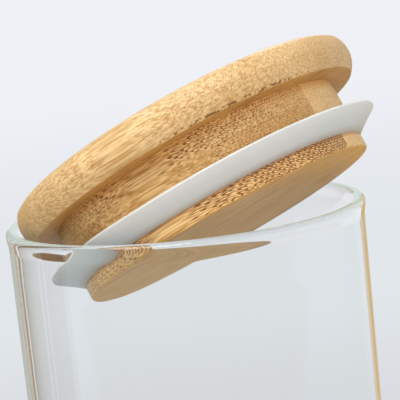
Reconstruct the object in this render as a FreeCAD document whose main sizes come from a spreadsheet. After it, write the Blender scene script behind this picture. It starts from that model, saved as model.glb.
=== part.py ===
# Glass canister with a turned, laminated bamboo lid that leans in the mouth.
# The jar stands on z = 0 about the Z axis; the lid is built upright and then set in its leaning place.
import FreeCAD, Part
import math
import os
import Sketcher

# Driving sizes: millimetres, and degrees for the two angles of the leaning lid
driving_sizes = [
    ("jar_diameter", 100.0, "outside of the straight glass wall"),
    ("jar_height", 150.0, "from the table to the top of the rim"),
    ("glass_wall", 2.8, "thickness of the side wall"),
    ("glass_base", 4.0, "thickness of the floor of the jar"),
    ("heel_radius", 8.0, "outer round between wall and base"),
    ("rim_bead", 0.45, "how far the fire-polished rim swells past the wall"),
    ("bead_length", 5.4, "height over which the rim swells"),
    ("cap_overhang", 1.75, "cap edge beyond the glass wall"),
    ("cap_thickness", 9.9, "both plies of the cap"),
    ("cap_ply", 4.95, "upper ply of the cap"),
    ("cap_edge_radius", 7.3, "bullnose of the cap edge"),
    ("cap_edge_height", 5.4, "widest line of the bullnose, above the underside"),
    ("plug_gap", 4.2, "plug to the mouth of the jar, all round"),
    ("neck_length", 11.2, "cap underside to the groove, two plies"),
    ("neck_ply", 5.6, "upper ply of the neck"),
    ("groove_width", 5.0, "thickness of the ply that carries the seal"),
    ("groove_depth", 3.0, "groove for the seal"),
    ("foot_thickness", 4.2, "bottom ply of the plug"),
    ("foot_edge", 0.8, "eased edge of the bottom ply"),
    ("lip_reach", 7.1, "seal lip beyond the plug, unloaded"),
    ("lip_rise", 5.1, "lip edge above the bottom ply"),
    ("lip_root", 2.6, "lip thickness where it leaves the band"),
    ("lip_edge", 0.9, "lip thickness at its edge"),
    ("seal_slack", 0.1, "seal band to groove"),
    ("seal_clearance", 0.3, "folded lip to glass"),
    ("lid_tilt", 28.7, "lean of the lid, degrees"),
    ("lean_direction", 144.3, "side of the mouth that the lid sinks into, degrees from +X"),
    ("lid_offset", 5.4, "lid centre from the jar axis, away from the low side"),
    ("seat_clearance", 0.15, "leaning lid to glass"),
]

doc = FreeCAD.newDocument("canister")
sheet = doc.addObject("Spreadsheet::Sheet", "Sizes")
for row, (alias, value, meaning) in enumerate(driving_sizes, start=1):
    sheet.set(f"A{row}", meaning)
    sheet.set(f"B{row}", str(value))
    sheet.setAlias(f"B{row}", alias)
doc.recompute()

# Lines that several pieces share, written once in terms of the sheet
jar_radius = "(Sizes.jar_diameter / 2)"
mouth_radius = f"({jar_radius} - Sizes.glass_wall)"
rim_radius = f"({jar_radius} + Sizes.rim_bead)"
rim_round = "((Sizes.glass_wall + Sizes.rim_bead) / 2)"
inner_heel = "(Sizes.heel_radius - Sizes.glass_wall)"
plug_radius = f"({mouth_radius} - Sizes.plug_gap)"
groove_radius = f"({plug_radius} - Sizes.groove_depth)"
cap_radius = f"({jar_radius} + Sizes.cap_overhang)"
# Heights on the upright lid, from the bottom of its foot
foot_top = "Sizes.foot_thickness"
groove_top = f"({foot_top} + Sizes.groove_width)"
cap_under = f"({groove_top} + Sizes.neck_length)"
neck_seam = f"({cap_under} - Sizes.neck_ply)"
cap_top = f"({cap_under} + Sizes.cap_thickness)"
cap_seam = f"({cap_top} - Sizes.cap_ply)"


def value_of(expression):
    return float(sheet.evalExpression(expression))


def bullnose_radius(height):
    # Radius of the cap edge at a height above the cap's underside
    drop = f"({height} - Sizes.cap_edge_height)"
    return f"({cap_radius} - Sizes.cap_edge_radius + sqrt(Sizes.cap_edge_radius ^ 2 - {drop} ^ 2))"


def arc_between(start, end, radius, hollow):
    # Arc of under a half circle, which bulges out of the material, or into it where it is hollow
    half = (end - start) / 2
    reach = math.sqrt(radius ** 2 - half.Length ** 2)
    inwards = FreeCAD.Vector(-half.y, half.x, 0).normalize()
    if hollow:
        inwards = -inwards
    middle = start + half + inwards * (reach - radius)
    return Part.Arc(start, middle, end)


def turned(label, outline):
    # Solid of revolution about Z. Each corner of the outline, taken anticlockwise, is (radius, height).
    # A third entry is the radius of an arc to the next corner, and a fourth says that the arc is hollow.
    body = doc.addObject("PartDesign::Body", label)
    body.Label = label
    sketch = body.newObject("Sketcher::SketchObject", f"{label}_section")
    plane = next(feature for feature in body.Origin.OriginFeatures if feature.Role == "XZ_Plane")
    sketch.AttachmentSupport = [(plane, "")]
    sketch.MapMode = "FlatFace"
    corners = [FreeCAD.Vector(value_of(corner[0]), value_of(corner[1]), 0) for corner in outline]
    count = len(outline)
    for index, corner in enumerate(outline):
        start = corners[index]
        end = corners[(index + 1) % count]
        if len(corner) > 2:
            hollow = len(corner) == 4
            sketch.addGeometry(arc_between(start, end, value_of(corner[2]), hollow), False)
        else:
            sketch.addGeometry(Part.LineSegment(start, end), False)
    # A sketch arc runs anticlockwise, so a hollow one ends at its corner and starts at the next
    first_point = [2 if len(corner) == 4 else 1 for corner in outline]
    last_point = [1 if len(corner) == 4 else 2 for corner in outline]
    for index in range(count):
        following = (index + 1) % count
        joined = (index, last_point[index], following, first_point[following])
        sketch.addConstraint(Sketcher.Constraint("Coincident", *joined))
    for index, corner in enumerate(outline):
        for axis, kind in ((0, "DistanceX"), (1, "DistanceY")):
            place = corners[index][axis]
            point = first_point[index]
            if corner[axis] == "0":
                line = -2 if axis == 0 else -1
                sketch.addConstraint(Sketcher.Constraint("PointOnObject", index, point, line))
            else:
                number = sketch.addConstraint(Sketcher.Constraint(kind, -1, 1, index, point, place))
                sketch.setExpression(f"Constraints[{number}]", corner[axis])
        if len(corner) > 2:
            radius = value_of(corner[2])
            number = sketch.addConstraint(Sketcher.Constraint("Radius", index, radius))
            sketch.setExpression(f"Constraints[{number}]", corner[2])
    revolution = body.newObject("PartDesign::Revolution", f"{label}_turned")
    revolution.Profile = sketch
    revolution.ReferenceAxis = (sketch, ["V_Axis"])
    revolution.Angle = 360.0
    return body


def glass_jar():
    bead_start = "Sizes.jar_height - Sizes.bead_length"
    rim_side = f"(Sizes.jar_height - {rim_round})"
    return turned("glass_jar", [
        ("0", "0"),
        (f"{jar_radius} - Sizes.heel_radius", "0", "Sizes.heel_radius"),
        (jar_radius, "Sizes.heel_radius"),
        (jar_radius, bead_start),
        (rim_radius, rim_side, rim_round),
        (f"{rim_radius} - {rim_round}", "Sizes.jar_height", rim_round),
        (mouth_radius, rim_side),
        (mouth_radius, f"Sizes.glass_base + {inner_heel}", inner_heel, "hollow"),
        (f"{mouth_radius} - {inner_heel}", "Sizes.glass_base"),
        ("0", "Sizes.glass_base"),
    ])


def disc(label, bottom, top, radius):
    return turned(label, [("0", bottom), (radius, bottom), (radius, top), ("0", top)])


def lid_plies():
    seam = "(Sizes.cap_thickness - Sizes.cap_ply)"
    foot_ply = turned("foot_ply", [
        ("0", "0"),
        (f"{plug_radius} - Sizes.foot_edge", "0", "Sizes.foot_edge"),
        (plug_radius, "Sizes.foot_edge"),
        (plug_radius, foot_top),
        ("0", foot_top),
    ])
    cap_lower_ply = turned("cap_lower_ply", [
        ("0", cap_under),
        (bullnose_radius("0"), cap_under, "Sizes.cap_edge_radius"),
        (bullnose_radius(seam), cap_seam),
        ("0", cap_seam),
    ])
    cap_upper_ply = turned("cap_upper_ply", [
        ("0", cap_seam),
        (bullnose_radius(seam), cap_seam, "Sizes.cap_edge_radius"),
        (bullnose_radius("Sizes.cap_thickness"), cap_top),
        ("0", cap_top),
    ])
    return [
        foot_ply,
        disc("seal_seat_ply", foot_top, groove_top, groove_radius),
        disc("neck_lower_ply", groove_top, neck_seam, plug_radius),
        disc("neck_upper_ply", neck_seam, cap_under, plug_radius),
        cap_lower_ply,
        cap_upper_ply,
    ]


def free_seal():
    # Band in the groove, with one lip that flares up and out from just above the foot
    band_inside = f"{groove_radius} + Sizes.seal_slack"
    band_top = f"{groove_top} - Sizes.seal_slack"
    lip_radius = f"{plug_radius} + Sizes.lip_reach"
    lip_height = f"{foot_top} + Sizes.lip_rise"
    return turned("seal_unloaded", [
        (band_inside, foot_top),
        (plug_radius, foot_top),
        (lip_radius, lip_height, "Sizes.lip_edge * 0.6"),
        (f"{lip_radius} - Sizes.lip_edge * 0.5", f"{lip_height} + Sizes.lip_edge * 0.8"),
        (plug_radius, f"{foot_top} + Sizes.lip_root"),
        (plug_radius, band_top),
        (band_inside, band_top),
    ])


def rim_room():
    # The room that the glass wall and rim need, which the lip folds out of where it crosses the rim
    inside = f"{mouth_radius} - Sizes.seal_clearance"
    outside = f"{cap_radius} + Sizes.lip_reach"
    top = "Sizes.jar_height + Sizes.seal_clearance"
    return turned("rim_room", [(inside, "0"), (outside, "0"), (outside, top), (inside, top)])


def leaning_place(height):
    # Lid placement with the centre of the cap's underside at this height
    lean = math.radians(value_of("Sizes.lean_direction"))
    across = FreeCAD.Vector(-math.sin(lean), math.cos(lean), 0)
    turn = FreeCAD.Rotation(across, value_of("Sizes.lid_tilt"))
    offset = value_of("Sizes.lid_offset")
    centre = FreeCAD.Vector(-offset * math.cos(lean), -offset * math.sin(lean), height)
    return FreeCAD.Placement(centre - turn.multVec(FreeCAD.Vector(0, 0, value_of(cap_under))), turn)


def seated_place(jar, plies):
    # Lower the leaning lid until its wood is the seat clearance away from the glass
    wood = Part.makeCompound([ply.Shape for ply in plies])
    clearance = value_of("Sizes.seat_clearance")
    low = value_of("Sizes.jar_height - Sizes.cap_thickness")
    high = value_of(f"Sizes.jar_height + 2 * {cap_radius}")
    while high - low > clearance / 100:
        middle = (low + high) / 2
        wood.Placement = leaning_place(middle)
        if jar.Shape.distToShape(wood)[0] < clearance:
            low = middle
        else:
            high = middle
    return leaning_place(high)


jar = glass_jar()
plies = lid_plies()
seal_unloaded = free_seal()
room = rim_room()
doc.recompute()

lid_place = seated_place(jar, plies)
for piece in plies + [seal_unloaded]:
    piece.Placement = lid_place
seal = doc.addObject("Part::Cut", "seal_ring")
seal.Label = "seal_ring"
seal.Base = seal_unloaded
seal.Tool = room
doc.recompute()

pieces = [jar] + plies + [seal]
for item in doc.Objects:
    if "Invalid" in item.State or "Error" in item.State:
        raise RuntimeError(f"{item.Label} did not rebuild: {item.State}")
for piece in pieces:
    if piece.Shape.isNull() or not piece.Shape.isValid() or len(piece.Shape.Solids) != 1:
        raise RuntimeError(f"{piece.Label} is not one valid solid")

os.makedirs("parts", exist_ok=True)
for piece in pieces:
    piece.Shape.exportStep(f"parts/{piece.Label}.step")
    print(f"{piece.Label}: {piece.Shape.Volume / 1000:.2f} cm3")
print(f"lid seat: {lid_place.Base.z:.3f} mm at the foot")
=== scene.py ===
import math
from functools import partial

import bmesh
import bpy
from mathutils import Matrix, Vector


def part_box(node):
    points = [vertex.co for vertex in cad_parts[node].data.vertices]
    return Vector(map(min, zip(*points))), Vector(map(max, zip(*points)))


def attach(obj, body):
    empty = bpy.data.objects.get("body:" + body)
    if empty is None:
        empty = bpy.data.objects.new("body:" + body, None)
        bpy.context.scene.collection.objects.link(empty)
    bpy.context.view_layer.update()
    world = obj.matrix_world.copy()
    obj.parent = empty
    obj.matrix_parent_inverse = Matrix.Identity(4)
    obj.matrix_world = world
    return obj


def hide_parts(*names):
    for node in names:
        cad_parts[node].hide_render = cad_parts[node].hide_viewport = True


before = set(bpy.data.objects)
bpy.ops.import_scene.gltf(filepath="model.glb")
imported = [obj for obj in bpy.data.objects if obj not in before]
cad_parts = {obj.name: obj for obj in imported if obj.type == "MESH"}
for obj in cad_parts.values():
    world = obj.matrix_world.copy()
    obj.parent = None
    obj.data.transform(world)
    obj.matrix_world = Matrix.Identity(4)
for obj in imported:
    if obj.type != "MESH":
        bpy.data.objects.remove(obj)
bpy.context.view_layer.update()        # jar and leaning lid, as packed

mm = 0.001


# where the lid lies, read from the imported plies

lidPlies = ["foot_ply", "seal_seat_ply", "neck_lower_ply", "neck_upper_ply", "cap_lower_ply", "cap_upper_ply"]
fibreAzimuth = math.radians(-21.0)  # way the bamboo fibres run, seen from above


def nodeCentre(name):
    low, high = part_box(name)
    return (Vector(low) + Vector(high)) / 2


def alongAxis(name, origin, axis):
    # lowest and highest point of a piece along the axis, and its radius around it
    heights = []
    radii = []
    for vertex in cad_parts[name].data.vertices:
        offset = vertex.co - origin
        height = offset.dot(axis)
        heights.append(height)
        radii.append((offset - axis * height).length)
    return min(heights), max(heights), max(radii)


seatCentre = nodeCentre("seal_seat_ply")
lidAxis = (nodeCentre("neck_upper_ply") - seatCentre).normalized()
footBottom = alongAxis("foot_ply", seatCentre, lidAxis)[0]
lidOrigin = seatCentre + lidAxis * footBottom  # middle of the foot's bottom face
fibre = Vector((math.cos(fibreAzimuth), math.sin(fibreAzimuth), 0.0))
fibre = (fibre - lidAxis * fibre.dot(lidAxis)).normalized()
lidTurn = Matrix((fibre, lidAxis.cross(fibre), lidAxis)).transposed()  # columns: fibre, across, lid axis
lidMatrix = Matrix.Translation(lidOrigin) @ lidTurn.to_4x4()
plySize = {name: alongAxis(name, lidOrigin, lidAxis) for name in lidPlies}
print("lid axis", tuple(round(part, 4) for part in lidAxis))


# node helpers for the lathe and the materials

def feed(tree, socket, value):
    # an output is linked to the socket; a number, vector or colour is set on it
    if isinstance(value, bpy.types.NodeSocket):
        tree.links.new(value, socket)
    elif socket.type == "RGBA":
        socket.default_value = (*value, 1.0)
    else:
        socket.default_value = value


def setInputs(tree, node, values):
    for key, value in values.items():
        feed(tree, node.inputs[key], value)


def addNode(tree, kind, inputs=None, **settings):
    node = tree.nodes.new(kind)
    for name, setting in settings.items():
        setattr(node, name, setting)
    setInputs(tree, node, inputs or {})
    return node


def addSockets(tree, side, kind, names):
    for name in names:
        tree.interface.new_socket(name, in_out=side, socket_type="NodeSocket" + kind)


def mathNode(tree, operation, *values):
    return addNode(tree, "ShaderNodeMath", dict(enumerate(values)), operation=operation).outputs[0]


def multiply(tree, first, *others):
    for other in others:
        first = mathNode(tree, "MULTIPLY", first, other)
    return first


def vectorMath(tree, operation, *values):
    node = addNode(tree, "ShaderNodeVectorMath", dict(enumerate(values)), operation=operation)
    return node.outputs["Value" if operation in ("DOT_PRODUCT", "LENGTH") else "Vector"]


def joinVector(tree, x, y, z):
    return addNode(tree, "ShaderNodeCombineXYZ", {"X": x, "Y": y, "Z": z}).outputs[0]


def splitVector(tree, vector):
    return addNode(tree, "ShaderNodeSeparateXYZ", {0: vector}).outputs


def noiseNode(tree, place, scale, detail=2.0, roughness=0.5):
    inputs = {"Vector": place, "Scale": scale, "Detail": detail, "Roughness": roughness}
    return addNode(tree, "ShaderNodeTexNoise", inputs).outputs["Fac"]


def smoothRange(tree, value, low, high, outLow=0.0, outHigh=1.0):
    # soft step from outLow to outHigh while the value goes from low to high
    inputs = {"Value": value, "From Min": low, "From Max": high, "To Min": outLow, "To Max": outHigh}
    return addNode(tree, "ShaderNodeMapRange", inputs, interpolation_type="SMOOTHSTEP").outputs["Result"]


def mixColour(tree, factor, first, second, mode="MIX"):
    node = addNode(tree, "ShaderNodeMix", data_type="RGBA", blend_type=mode)
    sockets = {socket.name: socket for socket in node.inputs if socket.enabled}
    for name, value in (("Factor", factor), ("A", first), ("B", second)):
        feed(tree, sockets[name], value)
    return [socket for socket in node.outputs if socket.enabled][0]


def mixShader(tree, factor, first, second):
    return addNode(tree, "ShaderNodeMixShader", {0: factor, 1: first.outputs[0], 2: second.outputs[0]})


def addBump(tree, shader, height, strength, depth):
    bump = addNode(tree, "ShaderNodeBump", {"Height": height, "Strength": strength, "Distance": depth})
    feed(tree, shader.inputs["Normal"], bump.outputs[0])


def newMaterial(name):
    material = bpy.data.materials.new(name)
    material.use_nodes = True
    return material, material.node_tree


def objectPlace(tree):
    return addNode(tree, "ShaderNodeTexCoord").outputs["Object"]


def lidPlace(tree):
    # object coordinates turned into the lid's own: fibre, across, up; in millimetres
    back = lidTurn.transposed()
    inputs = {"Vector": objectPlace(tree), "Location": -(back @ lidOrigin), "Rotation": back.to_euler()}
    turned = addNode(tree, "ShaderNodeMapping", inputs).outputs[0]
    return addNode(tree, "ShaderNodeVectorMath", {0: turned, "Scale": 1 / mm}, operation="SCALE").outputs[0]


# lathe: one node tree turns a profile into a closed skin

skinSize = {"weld": 0.001 * mm, "sliver": 0.0005 * mm, "sharpAngle": math.radians(38)}


def makeLatheTree():
    tree = bpy.data.node_groups.new("turnOnLathe", "GeometryNodeTree")
    addSockets(tree, "INPUT", "Geometry", ["Profile"])
    addSockets(tree, "INPUT", "Int", ["Steps", "Profile Points"])
    addSockets(tree, "INPUT", "Material", ["Finish"])
    addSockets(tree, "OUTPUT", "Geometry", ["Skin"])
    inside = addNode(tree, "NodeGroupInput").outputs
    steps = inside["Steps"]
    points = inside["Profile Points"]
    calc = partial(mathNode, tree)

    # each column of a grid is the profile, turned by one more step
    columns = calc("ADD", steps, 1.0)
    grid = addNode(tree, "GeometryNodeMeshGrid", {"Vertices X": columns, "Vertices Y": points})
    index = addNode(tree, "GeometryNodeInputIndex").outputs[0]
    row = calc("MODULO", index, points)
    column = calc("FLOOR", calc("DIVIDE", index, points))
    turn = calc("MULTIPLY", calc("DIVIDE", column, steps), 2 * math.pi)
    position = addNode(tree, "GeometryNodeInputPosition").outputs[0]
    sampled = {"Geometry": inside["Profile"], "Value": position, "Index": row}
    sample = addNode(tree, "GeometryNodeSampleIndex", sampled, data_type="FLOAT_VECTOR", domain="POINT")
    point = splitVector(tree, sample.outputs[0])
    x = calc("MULTIPLY", point["X"], calc("COSINE", turn))
    y = calc("MULTIPLY", point["X"], calc("SINE", turn))
    turned = joinVector(tree, x, y, point["Z"])

    skin = addNode(tree, "GeometryNodeSetPosition", {"Geometry": grid.outputs["Mesh"], "Position": turned})
    welded = {"Geometry": skin.outputs[0], "Distance": skinSize["weld"]}
    skin = addNode(tree, "GeometryNodeMergeByDistance", welded)
    skin = addNode(tree, "GeometryNodeRealizeInstances", {"Geometry": skin.outputs[0]})
    finished = {"Geometry": skin.outputs[0], "Material": inside["Finish"]}
    skin = addNode(tree, "GeometryNodeSetMaterial", finished)
    addNode(tree, "NodeGroupOutput", {"Skin": skin.outputs[0]})
    return tree


latheTree = makeLatheTree()
latheSockets = [item for item in latheTree.interface.items_tree if item.in_out == "INPUT"]
latheInputs = {item.name: item.identifier for item in latheSockets}


def turnPiece(name, profile, steps, finish, matrix):
    # profile: (radius, height) points; the result is a plain mesh in the shared frame
    flat = bpy.data.meshes.new(name + "Profile")
    edges = [(index, index + 1) for index in range(len(profile) - 1)]
    flat.from_pydata([(radius, 0.0, height) for radius, height in profile], edges, [])
    blank = bpy.data.objects.new(name + "Profile", flat)
    bpy.context.scene.collection.objects.link(blank)
    lathe = blank.modifiers.new("lathe", "NODES")
    lathe.node_group = latheTree
    lathe[latheInputs["Steps"]] = steps
    lathe[latheInputs["Profile Points"]] = len(profile)
    lathe[latheInputs["Finish"]] = finish
    depsgraph = bpy.context.evaluated_depsgraph_get()
    mesh = bpy.data.meshes.new_from_object(blank.evaluated_get(depsgraph))
    bpy.data.objects.remove(blank)
    mesh.name = name
    mesh.transform(matrix)
    cleanSkin(mesh)
    piece = bpy.data.objects.new(name, mesh)
    bpy.context.scene.collection.objects.link(piece)
    return piece


def cleanSkin(mesh):
    work = bmesh.new()
    work.from_mesh(mesh)
    bmesh.ops.dissolve_degenerate(work, dist=skinSize["sliver"], edges=work.edges)
    bmesh.ops.recalc_face_normals(work, faces=work.faces)
    work.to_mesh(mesh)
    work.free()
    mesh.shade_smooth()
    mesh.set_sharp_from_angle(angle=skinSize["sharpAngle"])


def arcPoints(centre, radius, start, end, count):
    # angles in degrees, from the radius direction towards the height direction
    points = []
    for step in range(count + 1):
        angle = math.radians(start + (end - start) * step / count)
        points.append((centre[0] + radius * math.cos(angle), centre[1] + radius * math.sin(angle)))
    return points


def runPoints(start, end, count):
    return [tuple(a + (b - a) * step / count for a, b in zip(start, end)) for step in range(count + 1)]


# bamboo: bundles run along the fibre, so they show as rings on end grain and as streaks along it

# lengths are in millimetres; a pair is where a soft step starts and ends, or what it goes from and to
grainLook = {
    "seedJump": 31.0, "stripCloudJump": 60.0, "stripCellJump": 17.0, "stripStreakJump": 40.0,
    "driftLength": 55.0, "driftWidth": 9.0, "wander": 2.0, "lift": 1.2, "liftScale": 1.7,
    "rowShare": 0.8, "stagger": 0.5, "cellRandom": 0.36,
    "ringInside": (0.17, 0.30), "ringOutside": (0.58, 0.42), "core": (0.30, 0.10),
    "crescentSlope": 0.6, "crescent": (-0.35, 0.3), "crescentDepth": (0.25, 1.0),
    "breakLength": 9.0, "breakWidth": 1.6, "breaks": (0.34, 0.60), "breakDepth": (0.55, 1.0),
    "bundles": (0.0, 0.9), "bundleDepth": (0.6, 1.0), "plainDepth": 0.85,
    "endGrain": (0.0, 0.5), "farEnd": (-28.0, 0.0), "faceSanding": 0.75,
    "streakLength": 30.0, "streakWidth": 0.55, "streaks": (0.34, 0.68),
    "cloudScale": 0.07, "clouds": (0.3, 0.7), "speckScale": 2.6, "noiseRoughness": 0.6,
    "endQuiet": 0.4, "faceQuiet": 0.5,
    "streakTone": 0.62, "cloudTone": 0.13, "speckTone": 0.24, "coreTone": 0.25, "plainTone": 0.22,
    "tones": (0.0, 0.95), "roughness": (0.45, 0.6), "streakHeight": 0.25,
}


def makeBambooGroup():
    look = grainLook
    tree = bpy.data.node_groups.new("bambooGrain", "ShaderNodeTree")
    addSockets(tree, "INPUT", "Vector", ["Place"])
    addSockets(tree, "INPUT", "Float", [
        "End Grain", "Flat Face", "Bundle Spacing", "Ring Depth", "Strip Width", "Strip Shift",
        "Strip Contrast", "Plain Strip", "Ring Fade", "Fleck Share", "Crowding", "Far End", "Seed"])
    addSockets(tree, "INPUT", "Color", ["Pale", "Deep", "Pore"])
    addSockets(tree, "OUTPUT", "Color", ["Color"])
    addSockets(tree, "OUTPUT", "Float", ["Roughness", "Height"])
    inside = addNode(tree, "NodeGroupInput").outputs
    calc = partial(mathNode, tree)
    times = partial(multiply, tree)
    vector = partial(joinVector, tree)
    smooth = partial(smoothRange, tree)
    mix = partial(mixColour, tree)
    noise = partial(noiseNode, tree, roughness=look["noiseRoughness"])

    def less(value, amount):
        return calc("SUBTRACT", 1.0, times(value, amount))

    def centred(value, amount):
        return times(calc("SUBTRACT", value, 0.5), amount)

    along, across, up = splitVector(tree, inside["Place"])

    # strips of board, each cut from another culm; the bundles crowd towards one side of a strip
    stripPlace = calc("DIVIDE", calc("ADD", across, inside["Strip Shift"]), inside["Strip Width"])
    strip = calc("FLOOR", stripPlace)
    share = calc("SUBTRACT", stripPlace, strip)
    plain = calc("COMPARE", strip, inside["Plain Strip"], 0.5)
    stripSeed = {"Vector": vector(strip, inside["Seed"], 0.0)}
    stripTone = addNode(tree, "ShaderNodeTexWhiteNoise", stripSeed, noise_dimensions="2D").outputs["Value"]

    # slow drift so that the fibres are not ruled lines
    driftAcross = calc("DIVIDE", across, look["driftWidth"])
    driftUp = calc("ADD", calc("DIVIDE", up, look["driftWidth"]), inside["Seed"])
    drift = vector(calc("DIVIDE", along, look["driftLength"]), driftAcross, driftUp)
    moved = calc("ADD", across, centred(noise(drift, 1.0, detail=1.0), look["wander"]))
    lifted = calc("ADD", up, centred(noise(drift, look["liftScale"], detail=1.0), look["lift"]))
    crowded = calc("ADD", moved, times(share, share, inside["Strip Width"], inside["Crowding"]))

    # bundles: dark crescents round a pale core, set out in a staggered order
    row = calc("DIVIDE", lifted, times(inside["Bundle Spacing"], look["rowShare"]))
    column = calc("ADD", calc("DIVIDE", crowded, inside["Bundle Spacing"]), times(row, look["stagger"]))
    cellPlace = vector(calc("ADD", column, times(stripTone, look["stripCellJump"])), row, 0.0)
    cellInputs = {"Vector": cellPlace, "Scale": 1.0, "Randomness": look["cellRandom"]}
    cells = addNode(tree, "ShaderNodeTexVoronoi", cellInputs, voronoi_dimensions="2D").outputs
    reach = cells["Distance"]
    ring = times(smooth(reach, *look["ringInside"]), smooth(reach, *look["ringOutside"]))
    offset = splitVector(tree, vectorMath(tree, "SUBTRACT", cellPlace, cells["Position"]))
    lean = calc("SUBTRACT", offset["Y"], times(offset["X"], look["crescentSlope"]))
    crescent = smooth(lean, *look["crescent"], *look["crescentDepth"])
    cellTone = addNode(tree, "ShaderNodeSeparateColor", {0: cells["Color"]}).outputs[0]
    breakWidths = [calc("DIVIDE", part, look["breakWidth"]) for part in (across, up)]
    breakPlace = vector(calc("DIVIDE", along, look["breakLength"]), *breakWidths)
    broken = smooth(noise(breakPlace, 1.0, detail=2.0), *look["breaks"], *look["breakDepth"])
    depth = times(smooth(cellTone, *look["bundles"], *look["bundleDepth"]), broken)
    depth = times(depth, less(share, inside["Ring Fade"]), less(plain, look["plainDepth"]))
    core = times(smooth(reach, *look["core"]), depth)

    # rings are deepest on end grain, and sanded flat faces show them and the strips less
    boarded = less(inside["Flat Face"], look["faceSanding"])
    cut = smooth(inside["End Grain"], *look["endGrain"], inside["Fleck Share"], 1.0)
    near = smooth(along, *look["farEnd"], inside["Far End"], 1.0)
    pore = calc("MINIMUM", times(ring, crescent, depth, inside["Ring Depth"], cut, near, boarded), 1.0)

    # fine fibre streaks, broad clouding and specks
    streakJump = times(stripTone, look["stripStreakJump"])
    streakAlong = calc("ADD", calc("DIVIDE", along, look["streakLength"]), streakJump)
    streakWidths = [calc("DIVIDE", part, look["streakWidth"]) for part in (moved, lifted)]
    streakTone = smooth(noise(vector(streakAlong, *streakWidths), 1.0, detail=4.0), *look["streaks"])
    jump = vector(times(inside["Seed"], look["seedJump"]), times(stripTone, look["stripCloudJump"]), 0.0)
    cloudPlace = vectorMath(tree, "ADD", inside["Place"], jump)
    cloudTone = smooth(noise(cloudPlace, look["cloudScale"], detail=3.0), *look["clouds"])
    speck = noise(inside["Place"], look["speckScale"], detail=2.0)

    # tone: 0 is the pale wood and 1 the deep wood; streaks are quieter on end grain and flat faces
    faceQuiet = times(inside["Flat Face"], look["faceQuiet"])
    quiet = calc("MAXIMUM", times(inside["End Grain"], look["endQuiet"]), faceQuiet)
    streakMiddle = look["streakTone"] / 2
    streaking = calc("SUBTRACT", times(streakTone, look["streakTone"]), streakMiddle)
    tone = calc("ADD", streakMiddle, times(streaking, calc("SUBTRACT", 1.0, quiet)))
    tone = calc("ADD", tone, times(centred(stripTone, inside["Strip Contrast"]), boarded))
    tone = calc("ADD", tone, times(cloudTone, look["cloudTone"]))
    tone = calc("ADD", tone, times(speck, look["speckTone"]))
    tone = calc("SUBTRACT", tone, times(core, look["coreTone"]))
    tone = calc("SUBTRACT", tone, times(plain, look["plainTone"], boarded))
    wood = mix(smooth(tone, *look["tones"]), inside["Pale"], inside["Deep"])
    addNode(tree, "NodeGroupOutput", {
        "Color": mix(pore, wood, inside["Pore"]),
        "Roughness": smooth(tone, 0.0, 1.0, *look["roughness"]),
        "Height": calc("SUBTRACT", times(streakTone, look["streakHeight"]), pore),
    })
    return tree


bambooGroup = makeBambooGroup()

bambooLook = {
    "wood": {"Pale": (0.70, 0.512, 0.268), "Deep": (0.38, 0.205, 0.056), "Pore": (0.175, 0.064, 0.014)},
    "capTint": (1.0, 1.0, 1.0), "plugTint": (1.10, 1.03, 0.90),  # the plug is warmer than the cap
    "bumpDepth": 0.10 * mm, "bumpStrength": 0.6, "coat": 0.08, "coatRoughness": 0.35, "specular": 0.3,
}

# per ply, by socket of the grain group: bundle spacing, how dark its rings are, strip layout
plyLook = {
    "foot_ply": {
        "Bundle Spacing": 1.0, "Ring Depth": 1.9, "Ring Fade": -0.9, "Fleck Share": 0.3, "Crowding": -0.2,
        "Strip Width": 46.0, "Strip Shift": 10.1, "Strip Contrast": 0.08, "Plain Strip": 0.0,
        "Far End": 0.3, "Seed": 3.0,
    },
    "seal_seat_ply": {
        "Bundle Spacing": 1.1, "Ring Depth": 0.9, "Ring Fade": 0.5, "Fleck Share": 0.42, "Crowding": 0.5,
        "Strip Width": 23.0, "Strip Shift": 2.0, "Strip Contrast": 0.3, "Plain Strip": 9.0,
        "Far End": 0.62, "Seed": 5.0,
    },
    "neck_lower_ply": {
        "Bundle Spacing": 0.92, "Ring Depth": 1.25, "Ring Fade": 0.5, "Fleck Share": 0.5, "Crowding": 0.5,
        "Strip Width": 23.3, "Strip Shift": 15.8, "Strip Contrast": 0.3, "Plain Strip": 0.0,
        "Far End": 0.62, "Seed": 8.0,
    },
    "neck_upper_ply": {
        "Bundle Spacing": 1.15, "Ring Depth": 2.1, "Ring Fade": 0.65, "Fleck Share": 0.6, "Crowding": 0.5,
        "Strip Width": 46.6, "Strip Shift": 15.8, "Strip Contrast": 0.2, "Plain Strip": 0.0,
        "Far End": 0.62, "Seed": 13.0,
    },
    "cap_lower_ply": {
        "Bundle Spacing": 0.62, "Ring Depth": 0.8, "Ring Fade": 0.3, "Fleck Share": 0.5, "Crowding": 0.5,
        "Strip Width": 46.0, "Strip Shift": 11.0, "Strip Contrast": 0.06, "Plain Strip": 9.0,
        "Far End": 0.62, "Seed": 21.0,
    },
    "cap_upper_ply": {
        "Bundle Spacing": 0.60, "Ring Depth": 0.7, "Ring Fade": 0.3, "Fleck Share": 0.5, "Crowding": 0.5,
        "Strip Width": 46.0, "Strip Shift": 4.0, "Strip Contrast": 0.06, "Plain Strip": 9.0,
        "Far End": 0.62, "Seed": 34.0,
    },
}

# bands of painted shade that darken a ply: face 0 is its lower face and 1 its upper one, band is in
# millimetres above that face
paintedShadeBands = [
    # painted shade on the foot's downward-facing bottom face
    {"ply": "foot_ply", "face": 0, "band": (0.45, 0.05), "tint": (0.97, 0.83, 0.50)},
    # painted contact shadow on the foot's edge, just under the seal
    {"ply": "foot_ply", "face": 1, "band": (-1.3, -0.1), "tint": (0.66, 0.54, 0.44)},
    # painted shade in the corner under the cap
    {"ply": "neck_upper_ply", "face": 1, "band": (-3.6, 0.4), "tint": (0.80, 0.63, 0.42)},
    # painted shade on the cap's downward-facing underside
    {"ply": "cap_lower_ply", "face": 0, "band": (0.3, 0.02), "tint": (1.0, 0.80, 0.50)},
]

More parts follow.
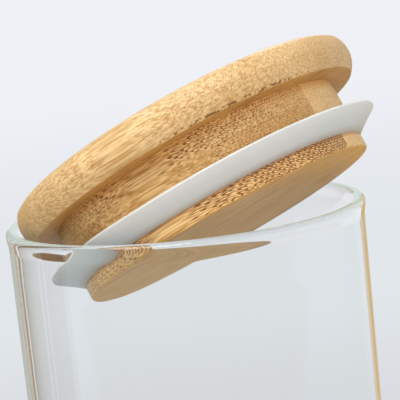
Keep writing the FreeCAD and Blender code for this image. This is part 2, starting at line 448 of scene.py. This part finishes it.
creaseLook = {
    "bottom": (0.02, 0.22), "top": (0.95, 0.5), "start": (4.0, 18.0), "end": (47.0, 42.0),
    "scale": 0.75, "detail": 1.0, "dashes": (0.495, 0.55), "share": 0.95,
}


def bandEnds(name, face, band):
    edge = plySize[name][face] / mm
    return [edge + height for height in band]


def creaseDashes(tree, place, colour):
    # open pores along the cap's lower edge, where the cutter has torn the end grain
    look = creaseLook
    sides = splitVector(tree, place)
    heights = [bandEnds("cap_lower_ply", 0, look[key]) for key in ("bottom", "top")]
    bounds = [smoothRange(tree, sides["Z"], *ends) for ends in heights]
    bounds += [smoothRange(tree, sides["X"], *look[key]) for key in ("start", "end")]
    dashes = smoothRange(tree, noiseNode(tree, place, look["scale"], look["detail"]), *look["dashes"])
    share = multiply(tree, *bounds, dashes, look["share"])
    return mixColour(tree, share, colour, bambooLook["wood"]["Pore"])


def bambooMaterial(name):
    look = bambooLook
    material, tree = newMaterial("bamboo_" + name)
    shader = tree.nodes["Principled BSDF"]
    place = lidPlace(tree)
    normal = addNode(tree, "ShaderNodeTexCoord").outputs["Normal"]
    grain = addNode(tree, "ShaderNodeGroup", node_tree=bambooGroup)
    setInputs(tree, grain, {"Place": place, **plyLook[name]})
    tint = look["capTint" if name.startswith("cap") else "plugTint"]
    for socket, colour in look["wood"].items():
        feed(tree, grain.inputs[socket], tuple(part * share for part, share in zip(colour, tint)))
    for socket, direction in (("End Grain", fibre), ("Flat Face", lidAxis)):
        facing = vectorMath(tree, "DOT_PRODUCT", normal, direction)
        feed(tree, grain.inputs[socket], mathNode(tree, "ABSOLUTE", facing))
    colour = grain.outputs["Color"]
    if name == "cap_lower_ply":
        colour = creaseDashes(tree, place, colour)
    up = splitVector(tree, place)["Z"]
    for band in paintedShadeBands:
        if band["ply"] == name:
            # multiplies the band's painted shade into the wood colour
            share = smoothRange(tree, up, *bandEnds(name, band["face"], band["band"]))
            colour = mixColour(tree, share, colour, band["tint"], "MULTIPLY")
    setInputs(tree, shader, {
        "Base Color": colour, "Roughness": grain.outputs["Roughness"], "Specular IOR Level": look["specular"],
        "Coat Weight": look["coat"], "Coat Roughness": look["coatRoughness"],
    })
    addBump(tree, shader, grain.outputs["Height"], look["bumpStrength"], look["bumpDepth"])
    return material


# glass jar

jarSize = {
    "radius": 50.0 * mm, "height": 150.0 * mm, "wall": 2.8 * mm, "base": 4.0 * mm,
    "heel": 8.0 * mm, "bead": 0.45 * mm, "beadLength": 5.4 * mm, "steps": 224,
    "faceCuts": 10, "heelCuts": 12, "wallCuts": 12, "beadCuts": 12, "rimCuts": 20, "innerHeelCuts": 10,
}
glassLook = {
    "colour": (0.986, 0.986, 0.989), "ior": 1.47, "absorb": (0.75, 0.92, 0.84), "density": 8.0,
    "glow": (0.62, 0.68, 0.62), "deepBounces": 4.5, "shadowTint": (0.965, 0.978, 0.972),
    "waveScale": 22.0, "waveDetail": 1.0, "waveStrength": 0.25, "waveDepth": 0.03 * mm,
    "filmScale": 90.0, "filmDetail": 4.0, "film": (0.45, 0.8), "filmRoughness": (0.0, 0.03),
}


def glassMaterial():
    look = glassLook
    material, tree = newMaterial("clear_glass")
    shader = tree.nodes["Principled BSDF"]
    place = objectPlace(tree)
    wave = noiseNode(tree, place, look["waveScale"], look["waveDetail"])
    film = noiseNode(tree, place, look["filmScale"], look["filmDetail"])
    addBump(tree, shader, wave, look["waveStrength"], look["waveDepth"])
    setInputs(tree, shader, {
        "Base Color": look["colour"], "IOR": look["ior"], "Transmission Weight": 1.0,
        "Roughness": smoothRange(tree, film, *look["film"], *look["filmRoughness"]),
    })
    rays = addNode(tree, "ShaderNodeLightPath").outputs

    # painted glow: an emission colour stands in for light that has gone round inside the wall many times
    glow = addNode(tree, "ShaderNodeEmission", {"Color": look["glow"]})
    deep = mathNode(tree, "GREATER_THAN", rays["Ray Depth"], look["deepBounces"])
    surface = mixShader(tree, deep, shader, glow)

    # lets the lamps shine into the jar
    clear = addNode(tree, "ShaderNodeBsdfTransparent", {"Color": look["shadowTint"]})
    surface = mixShader(tree, rays["Is Shadow Ray"], surface, clear)
    tint = addNode(tree, "ShaderNodeVolumeAbsorption", {"Color": look["absorb"], "Density": look["density"]})
    output = tree.nodes["Material Output"]
    setInputs(tree, output, {"Surface": surface.outputs[0], "Volume": tint.outputs[0]})
    return material


def makeJar():
    size = jarSize
    radius = size["radius"]
    heel = size["heel"]
    mouth = radius - size["wall"]
    rimRound = (size["wall"] + size["bead"]) / 2
    rimCentre = (mouth + rimRound, size["height"] - rimRound)
    beadFoot = size["height"] - size["beadLength"]
    innerHeel = heel - size["wall"]
    innerHeelTop = size["base"] + innerHeel
    profile = runPoints((0.0, 0.0), (radius - heel, 0.0), size["faceCuts"])
    profile += arcPoints((radius - heel, heel), heel, -90, 0, size["heelCuts"])[1:]
    profile += runPoints((radius, heel), (radius, beadFoot), size["wallCuts"])[1:]
    for step in range(1, size["beadCuts"] + 1):  # the fire-polished rim swells out in a soft curve
        share = step / size["beadCuts"]
        swell = size["bead"] * (1 - math.cos(math.pi * share)) / 2
        profile.append((radius + swell, beadFoot + (rimCentre[1] - beadFoot) * share))
    profile += arcPoints(rimCentre, rimRound, 0, 180, size["rimCuts"])[1:]
    profile += runPoints(profile[-1], (mouth, innerHeelTop), size["wallCuts"])[1:]
    profile += arcPoints((mouth - innerHeel, innerHeelTop), innerHeel, 0, -90, size["innerHeelCuts"])[1:]
    profile += runPoints(profile[-1], (0.0, size["base"]), size["faceCuts"])[1:]
    return turnPiece("jarGlass", profile, size["steps"], glassMaterial(), Matrix.Identity(4))


jar = makeJar()
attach(jar, "jar")
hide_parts("glass_jar")
print("jar turned")


# bamboo lid, one turned disc for each ply

lidSize = {
    "edgeRadius": 7.3 * mm, "edgeHeight": 5.4 * mm, "footEdge": 0.8 * mm,
    "crease": 0.5 * mm, "creaseInset": 0.45 * mm, "topEase": 0.8 * mm, "topInset": 1.28 * mm,
    "steps": 192, "flankCuts": 14, "faceCuts": 8, "footCuts": 6,
}


def bullnose(height):
    # radius of the cap's rounded edge at a height
    under = plySize["cap_lower_ply"][0]
    radius = max(plySize[name][2] for name in ("cap_lower_ply", "cap_upper_ply"))
    drop = height - under - lidSize["edgeHeight"]
    return radius - lidSize["edgeRadius"] + math.sqrt(lidSize["edgeRadius"] ** 2 - drop ** 2)


def plyProfile(name):
    size = lidSize
    low, high, radius = plySize[name]
    if name.startswith("cap"):
        first = low + (size["crease"] if name == "cap_lower_ply" else 0.0)
        last = high - (size["topEase"] if name == "cap_upper_ply" else 0.0)
        cuts = size["flankCuts"]
        heights = [first + (last - first) * step / cuts for step in range(cuts + 1)]
        side = [(bullnose(height), height) for height in heights]
        if name == "cap_lower_ply":
            side.insert(0, (side[0][0] - size["creaseInset"], low))
        else:
            side.append((side[-1][0] - size["topInset"], high))
    elif name == "foot_ply":
        ease = size["footEdge"]
        side = arcPoints((radius - ease, low + ease), ease, -90, 0, size["footCuts"]) + [(radius, high)]
    else:
        side = [(radius, low), (radius, high)]
    bottom = runPoints((0.0, low), side[0], size["faceCuts"])
    top = runPoints(side[-1], (0.0, high), size["faceCuts"])
    return bottom + side[1:] + top[1:]


for name in lidPlies:
    ply = turnPiece("bamboo_" + name, plyProfile(name), lidSize["steps"], bambooMaterial(name), lidMatrix)
    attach(ply, "lid")
    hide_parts(name)
print("lid plies turned", len(lidPlies))


# silicone seal: band in the groove and a lip that folds where it crosses the glass rim

sealSize = {
    "reach": 7.1 * mm, "rise": 5.1 * mm, "root": 2.6 * mm, "edge": 0.9 * mm, "slack": 0.1 * mm,
    "hollow": 0.21 * mm, "tipBack": 0.405 * mm, "tipUp": 0.45 * mm,
    "noseOut": 0.198 * mm, "noseUp": 0.09 * mm,
    "glassGap": 0.35 * mm, "foldSpread": 7, "foldStep": 0.05 * mm, "foldLift": 0.45, "foldBend": 1.3,
    "steps": 240, "lipCuts": 14, "topCuts": 12, "bandCuts": 3,
}
# tip, root and the contact shadow's band are millimetres from the lid axis
sealLook = {
    "colour": (0.535, 0.56, 0.57), "shade": (0.465, 0.485, 0.49),
    "tipToRoot": (49.4, 43.3), "shadeShare": 0.85,
    "contactShadow": (0.34, 0.28, 0.22), "contactShadowBand": (45.0, 43.0), "contactShadowShare": (0.0, 0.7),
    "cloudScale": 0.03, "cloudDetail": 2.0, "cloudShare": 0.3,
    "dustScale": 1.4, "dustDetail": 4.0, "dust": (0.3, 0.75), "dustRoughness": (0.36, 0.52),
    "bumpStrength": 0.2, "bumpDepth": 0.03 * mm, "ior": 1.41,
    "scatter": 0.55, "scatterRadius": (1.0, 1.0, 0.95), "scatterDepth": 3.0 * mm,
}


def sealMaterial():
    look = sealLook
    material, tree = newMaterial("translucent_silicone")
    shader = tree.nodes["Principled BSDF"]
    place = lidPlace(tree)
    cloud = noiseNode(tree, place, look["cloudScale"], look["cloudDetail"])
    dust = noiseNode(tree, place, look["dustScale"], look["dustDetail"])
    outward = vectorMath(tree, "LENGTH", vectorMath(tree, "MULTIPLY", place, (1.0, 1.0, 0.0)))
    # painted shade: the seal gets darker from its tip towards its root
    paintedShade = multiply(tree, smoothRange(tree, outward, *look["tipToRoot"]), look["shadeShare"])
    shade = mathNode(tree, "MULTIPLY_ADD", cloud, look["cloudShare"], paintedShade)
    colour = mixColour(tree, shade, look["colour"], look["shade"])
    # painted contact shadow on the seal where it meets the foot
    contactShadow = smoothRange(tree, outward, *look["contactShadowBand"], *look["contactShadowShare"])
    setInputs(tree, shader, {
        "Base Color": mixColour(tree, contactShadow, colour, look["contactShadow"]),
        "Roughness": smoothRange(tree, dust, *look["dust"], *look["dustRoughness"]), "IOR": look["ior"],
        "Subsurface Weight": look["scatter"], "Subsurface Radius": look["scatterRadius"],
        "Subsurface Scale": look["scatterDepth"],
    })
    addBump(tree, shader, dust, look["bumpStrength"], look["bumpDepth"])
    return material


def foldLip(seal, plugRadius, lipRadius):
    # push the lip in and up where the rim would cut it, easing away to both sides
    size = sealSize
    mouth = jarSize["radius"] - jarSize["wall"] - size["glassGap"]
    rimTop = jarSize["height"] + size["glassGap"]
    steps = size["steps"]
    tipHeight = plySize["foot_ply"][1] + size["rise"]
    lipEdge = ((lipRadius, tipHeight), (lipRadius - size["edge"] / 2, tipHeight + size["edge"]))

    def clears(angle, pull):
        for radius, height in lipEdge:
            pulled = radius - pull
            local = (pulled * math.cos(angle), pulled * math.sin(angle), height + pull * size["foldLift"])
            point = lidMatrix @ Vector(local)
            if point.z < rimTop and Vector((point.x, point.y)).length > mouth:
                return False
        return True

    needed = []
    for step in range(steps):
        angle = 2 * math.pi * step / steps
        pull = 0.0
        while not clears(angle, pull) and pull < lipRadius - plugRadius:
            pull += size["foldStep"]
        needed.append(pull)
    shifts = range(-size["foldSpread"], size["foldSpread"] + 1)
    wide = [max(needed[(step + shift) % steps] for shift in shifts) for step in range(steps)]
    soft = [sum(wide[(step + shift) % steps] for shift in shifts) / len(shifts) for step in range(steps)]
    back = lidMatrix.inverted()
    for vertex in seal.data.vertices:
        local = back @ vertex.co
        radius = math.hypot(local.x, local.y)
        share = (radius - plugRadius) / (lipRadius - plugRadius)
        if share <= 0.0:
            continue
        angle = math.atan2(local.y, local.x)
        turn = (angle / (2 * math.pi) * steps) % steps
        first = int(turn) % steps
        mix = turn - int(turn)
        pull = (soft[first] * (1 - mix) + soft[(first + 1) % steps] * mix) * share ** size["foldBend"]
        local.x -= pull * math.cos(angle)
        local.y -= pull * math.sin(angle)
        local.z += pull * size["foldLift"]
        vertex.co = lidMatrix @ local
    print("lip folds by at most", round(max(soft) / mm, 2), "mm")


def makeSeal():
    size = sealSize
    footTop = plySize["foot_ply"][1]
    plugRadius = plySize["foot_ply"][2]
    bandInside = plySize["seal_seat_ply"][2] + size["slack"]
    bandTop = plySize["seal_seat_ply"][1] - size["slack"]
    lipRadius = plugRadius + size["reach"]
    tip = (lipRadius, footTop + size["rise"])
    tipTop = (lipRadius - size["tipBack"], tip[1] + size["tipUp"])
    nose = ((tip[0] + tipTop[0]) / 2 + size["noseOut"], (tip[1] + tipTop[1]) / 2 + size["noseUp"])
    profile = runPoints((bandInside, footTop), (plugRadius, footTop), size["bandCuts"])
    for step in range(1, size["lipCuts"] + 1):
        share = step / size["lipCuts"]
        hollow = size["hollow"] * math.sin(math.pi * share)  # the lip's outside is a little hollow
        profile.append((plugRadius + size["reach"] * share - hollow, footTop + size["rise"] * share))
    profile += [nose, tipTop]
    profile += runPoints(tipTop, (plugRadius, footTop + size["root"]), size["topCuts"])[1:]
    for corner in ((plugRadius, bandTop), (bandInside, bandTop), (bandInside, footTop)):
        profile += runPoints(profile[-1], corner, size["bandCuts"])[1:]
    seal = turnPiece("sealLip", profile, size["steps"], sealMaterial(), lidMatrix)
    foldLip(seal, plugRadius, lipRadius)
    return seal


seal = makeSeal()
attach(seal, "lid")
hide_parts("seal_ring")
print("seal turned and folded")


# floor, backdrop, cards and lamps

stageLook = {
    "background": (0.86, 0.875, 0.92), "near": (0.76, 0.795, 0.825), "floor": (0.50, 0.51, 0.53),
    "bounce": (0.58, 0.53, 0.465), "roughness": 0.9, "specular": 0.1, "mottleScale": 2.0, "mottleShade": 0.97,
    "fade": (0.15, 0.55), "grade": (0.5, 2.2), "radius": 3.0, "segments": 96, "airGap": 0.3 * mm,
    "room": (0.95, 0.97, 1.0), "worldLight": 0.6,
}


def seenRays(tree):
    # 1 for what is looked at, straight, mirrored or through glass; 0 for light that lands on other things
    rays = addNode(tree, "ShaderNodeLightPath").outputs
    seen = mathNode(tree, "MAXIMUM", rays["Is Camera Ray"], rays["Is Glossy Ray"])
    return mathNode(tree, "MAXIMUM", seen, rays["Is Transmission Ray"])


def makeFloor():
    look = stageLook
    work = bmesh.new()
    below = Matrix.Translation((0.0, 0.0, -look["airGap"]))  # keeps the floor and the glass base apart
    bmesh.ops.create_circle(work, cap_ends=True, radius=look["radius"],
                            segments=look["segments"], matrix=below)
    mesh = bpy.data.meshes.new("floor")
    work.to_mesh(mesh)
    work.free()
    floor = bpy.data.objects.new("floor", mesh)
    bpy.context.scene.collection.objects.link(floor)
    material, tree = newMaterial("pale_floor")
    shader = tree.nodes["Principled BSDF"]
    place = objectPlace(tree)
    darker = tuple(part * look["mottleShade"] for part in look["floor"])
    seen = mixColour(tree, noiseNode(tree, place, look["mottleScale"]), look["floor"], darker)
    setInputs(tree, shader, {
        "Base Color": mixColour(tree, seenRays(tree), look["bounce"], seen),
        "Roughness": look["roughness"], "Specular IOR Level": look["specular"],
    })
    far = vectorMath(tree, "LENGTH", place)
    grade = smoothRange(tree, far, *look["grade"])
    distant = mixColour(tree, grade, look["near"], look["background"])
    glow = addNode(tree, "ShaderNodeEmission", {"Color": distant})
    fade = multiply(tree, smoothRange(tree, far, *look["fade"]), seenRays(tree))
    surface = mixShader(tree, fade, shader, glow)
    feed(tree, tree.nodes["Material Output"].inputs["Surface"], surface.outputs[0])
    mesh.materials.append(material)


def makeWorld():
    world = bpy.data.worlds.new("studio")
    bpy.context.scene.world = world
    world.use_nodes = True
    tree = world.node_tree
    room = tree.nodes["Background"]
    setInputs(tree, room, {"Color": stageLook["room"], "Strength": stageLook["worldLight"]})
    backdrop = addNode(tree, "ShaderNodeBackground", {"Color": stageLook["background"]})
    surface = mixShader(tree, seenRays(tree), room, backdrop)
    feed(tree, tree.nodes["World Output"].inputs["Surface"], surface.outputs[0])


# seen in reflections alone: upright cards round the jar and a mat in front of it
cards = [
    {"name": "sandCard", "corner": (-0.14, -0.040, 0.0), "across": (0.0, 0.046, 0.0),
     "colour": (0.10, 0.02, 0.0)},
    {"name": "tanCard", "corner": (-0.14, 0.010, 0.0), "across": (0.0, 0.082, 0.0),
     "colour": (0.17, 0.10, 0.045)},
    {"name": "brownCard", "corner": (-0.14, 0.104, 0.0), "across": (0.0, 0.034, 0.0),
     "colour": (0.30, 0.18, 0.08)},
    {"name": "greyCard", "corner": (-0.108, 0.09, 0.0), "across": (0.038, 0.0, 0.0),
     "colour": (0.36, 0.36, 0.32)},
    {"name": "goldCard", "corner": (0.071, 0.09, 0.0), "across": (0.034, 0.0, 0.0),
     "colour": (0.50, 0.31, 0.075)},
    {"name": "darkCard", "corner": (-0.9, -0.9, 0.0), "across": (1.8, 0.0, 0.0), "rise": (0.0, 0.0, 1.1),
     "colour": (0.16, 0.155, 0.15), "soft": 0.5},
    {"name": "darkMat", "corner": (-0.6, -0.9, 0.002), "across": (1.2, 0.0, 0.0), "rise": (0.0, 0.72, 0.0),
     "colour": (0.42, 0.39, 0.36)},
]
cardLook = {"rise": (0.0, 0.0, 0.3), "mottleScale": 9.0, "lighter": 1.5, "footFade": 0.06, "bounceLimit": 4.0}


def makeCard(card):
    look = cardLook
    corner = Vector(card["corner"])
    across = Vector(card["across"])
    rise = Vector(card.get("rise", look["rise"]))
    mesh = bpy.data.meshes.new(card["name"])
    mesh.from_pydata([corner, corner + across, corner + across + rise, corner + rise], [], [(0, 1, 2, 3)])
    board = bpy.data.objects.new(card["name"], mesh)
    bpy.context.scene.collection.objects.link(board)
    material, tree = newMaterial(card["name"])
    tree.nodes.remove(tree.nodes["Principled BSDF"])
    place = objectPlace(tree)
    lighter = tuple(min(1.0, part * look["lighter"]) for part in card["colour"])
    colour = mixColour(tree, noiseNode(tree, place, look["mottleScale"]), card["colour"], lighter)
    glow = addNode(tree, "ShaderNodeEmission", {"Color": colour})
    clear = addNode(tree, "ShaderNodeBsdfTransparent")
    rays = addNode(tree, "ShaderNodeLightPath").outputs
    oddBounce = mathNode(tree, "MODULO", rays["Ray Depth"], 2.0)  # straight through glass is an even count
    early = mathNode(tree, "LESS_THAN", rays["Ray Depth"], look["bounceLimit"])  # wall alone, not the base
    mirrored = multiply(tree, oddBounce, early, rays["Is Glossy Ray"])
    sides = splitVector(tree, place)
    if rise.z > 0:
        mirrored = multiply(tree, mirrored, smoothRange(tree, sides["Z"], 0.0, look["footFade"]))
    if "soft" in card:  # sides fade out, by distance from the card's upright middle line
        half = across.length / 2
        away = mathNode(tree, "ABSOLUTE", sides["X"])
        mirrored = multiply(tree, mirrored, smoothRange(tree, away, half, half * (1 - card["soft"])))
    surface = mixShader(tree, mirrored, clear, glow)
    feed(tree, tree.nodes["Material Output"].inputs["Surface"], surface.outputs[0])
    mesh.materials.append(material)


# hidden lamps light things but don't show in reflections or through glass
lampTarget = (0.0, 0.0, 0.14)
lamps = [
    {"name": "keyLamp", "place": (-0.35, -0.40, 1.05), "size": 0.8, "power": 9.5,
     "colour": (1.0, 0.98, 0.95), "hidden": False},
    {"name": "fillLamp", "place": (0.35, -0.95, 0.40), "size": 0.9, "power": 7.0,
     "colour": (1.0, 0.99, 0.97), "hidden": True},
    {"name": "sideLamp", "place": (-0.85, -0.35, 0.40), "size": 0.6, "power": 1.2,
     "colour": (1.0, 0.99, 0.97), "hidden": True},
    {"name": "backLamp", "place": (0.2, 0.8, 0.8), "size": 0.6, "power": 3.0,
     "colour": (1.0, 1.0, 1.0), "hidden": False},
]


def makeLamp(name, place, size, power, colour, hidden):
    light = bpy.data.lights.new(name, "AREA")
    light.shape = "DISK"
    light.size = size
    light.energy = power
    light.color = colour
    lamp = bpy.data.objects.new(name, light)
    lamp.location = place
    lamp.rotation_euler = (Vector(lampTarget) - Vector(place)).to_track_quat("-Z", "Y").to_euler()
    lamp.visible_glossy = not hidden
    lamp.visible_transmission = not hidden
    bpy.context.scene.collection.objects.link(lamp)


makeFloor()
makeWorld()
for card in cards:
    makeCard(card)
for lamp in lamps:
    makeLamp(**lamp)
print("stage lit")


# camera: a long lens a little above the rim, leaning so that the jar stands askew in the picture

cameraView = {
    "pictureSize": 400.0, "distance": 0.43325, "height": 9.17, "roll": 6.06,  # height and roll in degrees
    "pixelsPerMetre": 3563.8, "rimPixel": (184.78, 209.04), "sensor": 36.0, "clipStart": 0.01,
}


def makeCamera():
    view = cameraView
    rise = math.radians(view["height"])
    roll = math.radians(view["roll"])
    rimCentre = Vector((0.0, 0.0, jarSize["height"]))
    away = Vector((0.0, math.cos(rise), -math.sin(rise)))
    right = Vector((1.0, 0.0, 0.0))
    upward = right.cross(away)
    rolledRight = right * math.cos(roll) - upward * math.sin(roll)
    rolledUp = right * math.sin(roll) + upward * math.cos(roll)
    focal = view["pixelsPerMetre"] * view["distance"]
    middle = view["pictureSize"] / 2
    shiftRight = (middle - view["rimPixel"][0]) / focal
    shiftDown = (middle - view["rimPixel"][1]) / focal
    ahead = (away + rolledRight * shiftRight - rolledUp * shiftDown).normalized()
    newRight = (rolledRight - ahead * rolledRight.dot(ahead)).normalized()
    newUp = newRight.cross(ahead)
    lens = bpy.data.cameras.new("photoView")
    lens.sensor_width = view["sensor"]
    lens.lens = focal / view["pictureSize"] * view["sensor"]
    lens.clip_start = view["clipStart"]
    camera = bpy.data.objects.new("photoView", lens)
    turn = Matrix((newRight, newUp, -ahead)).transposed()
    camera.matrix_world = Matrix.Translation(rimCentre - away * view["distance"]) @ turn.to_4x4()
    bpy.context.scene.collection.objects.link(camera)
    bpy.context.scene.camera = camera


makeCamera()
bpy.context.scene.view_settings.view_transform = "Standard"
print("camera set")
